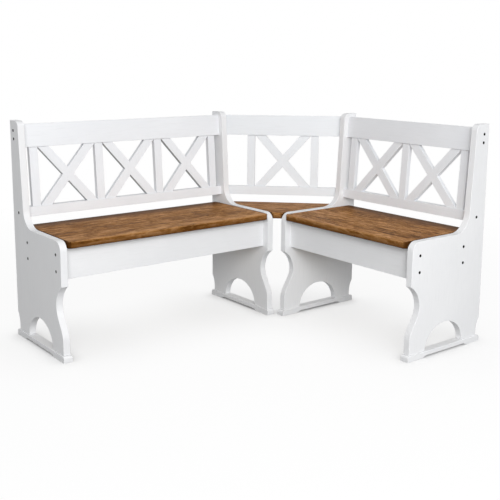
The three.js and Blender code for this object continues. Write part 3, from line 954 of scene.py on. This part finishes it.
class CrossedBars(bpy.types.Operator):
    """Make the crossed bars between the slats, one row each"""
    bl_idname = "corner_bench.crossed_bars"
    bl_label = "Crossed bars"

    def execute(self, context):
        sizes = context.scene.bench_sizes
        for row in ROWS:
            slats = nodes_like(f"{row}_back_slat_")
            rising = nodes_like(f"{row}_cross_", "_rising_bar")
            falling = nodes_like(f"{row}_cross_", "_falling_bar")
            step = centre_of(slats[1]) - centre_of(slats[0])
            slat = copy_of(slats[0])
            upright = upright_of(slat)
            slat.free()
            work = crossed_bars(rising[0], falling[0], step.normalized(), upright, BACK[row], sizes)
            finish = painted_wood("z", row)
            piece = new_object(f"painted_{row}_back_crosses", work, finish)
            paint_shade_on_undersides(piece, row)
            painted_row(piece, rising + falling, len(rising), step, finish)
        return {"FINISHED"}


class SeatBoxes(bpy.types.Operator):
    """Make the aprons and the plywood bottoms of the two seat boxes, and the cleats under the corner seat"""
    bl_idname = "corner_bench.seat_boxes"
    bl_label = "Seat boxes"

    def execute(self, context):
        scene = context.scene
        easing = scene.bench_sizes.rail_easing
        for bench in BENCHES:
            grain = GRAIN_ALONG[bench]
            for side in ("front", "rear"):
                painted_board(f"{bench}_{side}_apron", easing, grain, along=ALONG[bench])
            plywood = bare_wood(
                f"plywood_grain_{grain}", scene.bench_colours.plywood, grain, roughness=0.6, bands=6)
            eased_board(f"{bench}_box_bottom", "plywood", plywood, "plywood", PLYWOOD_EASING,
                        along=ALONG[bench], steps=2)
            painted_board(f"corner_seat_cleat_{bench}_side", easing, GRAIN_ACROSS[bench])
        return {"FINISHED"}


def mark_pale_edge_and_shade(piece, row, front_shade):
    """Marks the upper front chamfer, which is lighter, and the ends and the front, which get a painted shade.
    """
    pale_edge = piece.data.attributes.new("worn_edge", "FLOAT", "FACE")
    dark = piece.data.attributes.new("dark_end", "FLOAT", "FACE")
    least, most = CHAMFER_LOOKS_UP
    for face in piece.data.polygons:
        to_front = face.normal.dot(BACK[row]) < -LOOKS_FORWARD
        pale_edge.data[face.index].value = 1.0 if to_front and least < face.normal.z < most else 0.0
        if abs(face.normal.dot(ALONG[row])) > LOOKS_AWAY:
            dark.data[face.index].value = 1.0
        elif to_front:
            dark.data[face.index].value = front_shade


class SeatBoards(bpy.types.Operator):
    """Make the two lift-up seat boards and the corner seat"""
    bl_idname = "corner_bench.seat_boards"
    bl_label = "Seat boards"

    def execute(self, context):
        for node, front_shade in FRONT_PAINTED_SHADES.items():
            row = node.split("_")[0]
            work = copy_of(node)
            ease(work, context.scene.bench_sizes.seat_easing, steps=2)
            piece = new_object(f"stained_{node}", work, stained_wood(node, GRAIN_ALONG[row]))
            mark_pale_edge_and_shade(piece, row, front_shade)
            even_shading(piece)
            stand_in(piece, [node])
        return {"FINISHED"}


class LidBattens(bpy.types.Operator):
    """Make the pine battens that stiffen the lift-up seats"""
    bl_idname = "corner_bench.lid_battens"
    bl_label = "Lid battens"

    def execute(self, context):
        scene = context.scene
        for bench in BENCHES:
            grain = GRAIN_ACROSS[bench]
            pine = bare_wood(
                f"raw_pine_grain_{grain}", scene.bench_colours.pine, grain, roughness=0.58, bands=15)
            for node in nodes_like(f"{bench}_lid_batten_"):
                eased_board(node, "pine", pine, "raw_pine", scene.bench_sizes.rail_easing)
        return {"FINISHED"}


class Hinges(bpy.types.Operator):
    """Make the leaves and pins of the four butt hinges"""
    bl_idname = "corner_bench.hinges"
    bl_label = "Hinges"

    def execute(self, context):
        easing = context.scene.bench_sizes.leaf_easing
        for bench in BENCHES:
            for node in nodes_like(f"{bench}_hinge_", "_leaf"):
                eased_board(node, "zinc", zinc_plating(), "plated_steel", easing, along=ALONG[bench], steps=2)
        return {"FINISHED"}


def leaf_screw_places(node, hinge_axis):
    """Where the two screws of a hinge leaf sit, over the holes of its plate."""
    low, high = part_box(node)
    bench = node.split("_")[0]
    along, back = ALONG[bench], BACK[bench]
    reach = (high - low).dot(along) / 2 - LEAF_SCREW_INSET
    places = []
    for side in (-1, 1):
        point = (low + high) / 2 + along * (reach * side)
        if node.endswith("apron_leaf"):
            face = back
            point.z = hinge_axis.z - LEAF_SCREW_REACH
            point += back * (hinge_axis.dot(back) - LEAF_FACE - point.dot(back))
        else:
            face = -UP
            point.z = hinge_axis.z + LEAF_FACE
            point += back * (hinge_axis.dot(back) + LEAF_SCREW_REACH - point.dot(back))
        places.append((point, face))
    return places


def batten_screw_places(node):
    """Three screws along the underside of a batten."""
    low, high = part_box(node)
    run = BACK[node.split("_")[0]]
    places = []
    for share in BATTEN_SCREW_SHARES:
        point = (low + high) / 2 + run * ((high - low).dot(run) * share)
        point.z = low.z + SEATED
        places.append((point, -UP))
    return places


class Screws(bpy.types.Operator):
    """Make the screw heads: in the end panels, in the hinges and under the battens"""
    bl_idname = "corner_bench.screws"
    bl_label = "Screws"

    def execute(self, context):
        scene = context.scene
        sizes = scene.bench_sizes
        small = (zinc_plating(), sizes.small_screw_radius, sizes.small_screw_height)
        # The panel screws' near-black is partly a painted shade of the recesses they fill
        dark = plated_steel("dark_steel", scene.bench_colours.dark_steel, roughness=0.6, metallic=0.0)
        in_panels = []
        for node in nodes_like("", "_end_panel"):
            work = copy_of(node)
            for floor in recess_floors(work):
                in_panels.append((floor.calc_center_median(), floor.normal.copy()))
            work.free()
        screws("panel_screws", in_panels, "frame", dark, sizes.screw_radius, sizes.screw_height, PANEL_CROWN)
        axes = {joint["child"]: Vector(joint["pos_m"]) for joint in frame["joints"]}
        in_aprons = []
        for bench in BENCHES:
            lid = f"{bench}_lid"
            for node in nodes_like(f"{bench}_hinge_", "_apron_leaf"):
                in_aprons += leaf_screw_places(node, axes[lid])
            in_lid = []
            for node in nodes_like(f"{bench}_hinge_", "_lid_leaf"):
                in_lid += leaf_screw_places(node, axes[lid])
            for node in nodes_like(f"{bench}_lid_batten_"):
                in_lid += batten_screw_places(node)
            screws(f"{bench}_lid_screws", in_lid, lid, *small)
        screws("apron_hinge_screws", in_aprons, "frame", *small)
        return {"FINISHED"}


# The stage

WHITE = (1, 1, 1, 1)
FLOOR_SIZE = 30
PAPER = (0.93, 0.93, 0.93)

# Where the floor starts to fade to white around the bench, and where it is white
FADE = (1.3, 3.4)

# How much of the floor's lift is left in the contact shadows and in the pool under the seats, where
# the open share of the room is the first of OPENNESS or less
CONTACT_KEPT = 0.04
POOL_KEPT = 0.6
OPENNESS = (0.3, 1.0)

# Each softbox's place, aim, width and height
SOFTBOXES = {
    "left": ((-3.6, -4.4, 3.0), (0, 0, 0.4), 3.0, 3.0),
    "near": ((-1.2, -3.2, 1.6), (0, 0, 0.4), 2.5, 2.0),
    "front": ((0.5, -4.6, 2.2), (0, 0, 0.4), 6.0, 4.0),
    "overhead": ((-0.4, -0.6, 4.4), (0, 0, 0.3), 4.0, 4.0),
}

# The camera's place and angles, in metres and radians, and its lens and sensor in millimetres
CAMERA_PLACE = (-2.09939, -2.694834, 1.183901)
CAMERA_HEADING = -0.664927
CAMERA_DIP = 0.173848
CAMERA_ROLL = 0.005898
LENS = 60.0327
SENSOR_WIDTH = 36
UPWARD_SHIFT = -0.0944
FURTHEST = 60


def lay_floor(stage):
    """Matt paper that keeps the shadows near the bench and fades to white away from it."""
    material = bpy.data.materials.new("floor_paper")
    n, surface = bare_nodes(material, "ShaderNodeOutputMaterial")
    seen = n.seen()
    matt = n.add("ShaderNodeBsdfDiffuse", Color=n.mix(seen, (stage.floor_bounce,) * 3, PAPER))
    white = n.add("ShaderNodeEmission", Color=WHITE, Strength=1.0)
    away = n.tree.nodes.new("ShaderNodeVectorMath")
    away.operation = "LENGTH"
    n.link(n.turned("x"), away.inputs[0])
    lift = n.spread(away.outputs["Value"], *FADE, stage.floor_lift, 1.0)
    for reach, kept in ((stage.contact_reach, CONTACT_KEPT), (stage.pool_reach, POOL_KEPT)):
        open_share = n.add("ShaderNodeAmbientOcclusion", Distance=reach).outputs["AO"]
        lift = n.math("MULTIPLY", lift, n.spread(open_share, *OPENNESS, kept, 1.0))
    lifted = n.math("MULTIPLY", seen, lift)
    n.link(n.blend(lifted, matt.outputs["BSDF"], white.outputs["Emission"]), surface)
    work = bmesh.new()
    bmesh.ops.create_grid(work, x_segments=1, y_segments=1, size=FLOOR_SIZE)
    new_object("floor", work, material)


def light_room(scene, strength):
    """White where it is seen, and an even light of its own on the bench."""
    scene.world = bpy.data.worlds.new("white_room")
    n, surface = bare_nodes(scene.world, "ShaderNodeOutputWorld")
    even = n.add("ShaderNodeBackground", Color=WHITE, Strength=strength)
    white = n.add("ShaderNodeBackground", Color=WHITE, Strength=1.0)
    n.link(n.blend(n.seen(), even.outputs["Background"], white.outputs["Background"]), surface)


def add_softbox(name, power):
    place, aim, width, height = SOFTBOXES[name]
    data = bpy.data.lights.new(f"{name}_softbox", "AREA")
    data.shape = "RECTANGLE"
    data.size = width
    data.size_y = height
    data.energy = power
    lamp = add_to_scene(data.name, data)
    lamp.location = place
    lamp.rotation_euler = (Vector(aim) - Vector(place)).to_track_quat("-Z", "Y").to_euler()
    lamp.visible_camera = False


def place_camera(scene):
    """At the photograph's place and angle."""
    data = bpy.data.cameras.new("camera")
    data.sensor_width = SENSOR_WIDTH
    data.lens = LENS
    data.shift_y = UPWARD_SHIFT
    data.clip_end = FURTHEST
    turn = Matrix.Rotation(CAMERA_HEADING, 3, "Z")
    forward = turn @ Vector((0, math.cos(CAMERA_DIP), -math.sin(CAMERA_DIP)))
    level = turn @ Vector((1, 0, 0))
    upward = level.cross(forward)
    right = level * math.cos(CAMERA_ROLL) + upward * math.sin(CAMERA_ROLL)
    up = upward * math.cos(CAMERA_ROLL) - level * math.sin(CAMERA_ROLL)
    aim = Matrix((right, up, -forward)).transposed().to_4x4()
    camera = add_to_scene("camera", data)
    camera.matrix_world = Matrix.Translation(CAMERA_PLACE) @ aim
    scene.camera = camera


class Stage(bpy.types.Operator):
    """Make the pale floor, the soft lights, the white room and the camera"""
    bl_idname = "corner_bench.stage"
    bl_label = "Stage"

    def execute(self, context):
        scene = context.scene
        scene.view_settings.view_transform = "Standard"
        lay_floor(scene.bench_stage)
        light_room(scene, scene.bench_stage.room_light)
        for name in SOFTBOXES:
            add_softbox(name, getattr(scene.bench_stage, f"{name}_power"))
        place_camera(scene)
        return {"FINISHED"}


STEPS = (
    EndPanels, FootRails, BackRails, BackSlats, CrossedBars, SeatBoxes, SeatBoards, LidBattens, Hinges,
    Screws, Stage,
)


class BenchPanel(bpy.types.Panel):
    """Buttons and settings of the corner bench"""
    bl_idname = "VIEW3D_PT_corner_bench"
    bl_label = "Corner bench"
    bl_space_type = "VIEW_3D"
    bl_region_type = "UI"
    bl_category = "Corner bench"

    def draw(self, context):
        layout = self.layout
        for settings in (context.scene.bench_sizes, context.scene.bench_colours, context.scene.bench_stage):
            box = layout.box()
            for name in settings.__annotations__:
                box.prop(settings, name)
        for step in STEPS:
            layout.operator(step.bl_idname)


CLASSES = (BenchSizes, BenchColours, BenchStage, *STEPS, BenchPanel)


def register():
    for cls in CLASSES:
        bpy.utils.register_class(cls)
    bpy.types.Scene.bench_sizes = PointerProperty(type=BenchSizes)
    bpy.types.Scene.bench_colours = PointerProperty(type=BenchColours)
    bpy.types.Scene.bench_stage = PointerProperty(type=BenchStage)


def unregister():
    del bpy.types.Scene.bench_stage
    del bpy.types.Scene.bench_colours
    del bpy.types.Scene.bench_sizes
    for cls in reversed(CLASSES):
        bpy.utils.unregister_class(cls)


def main():
    register()
    for step in STEPS:
        group, name = step.bl_idname.split(".")
        getattr(getattr(bpy.ops, group), name)()


if __name__ == "__main__":
    main()
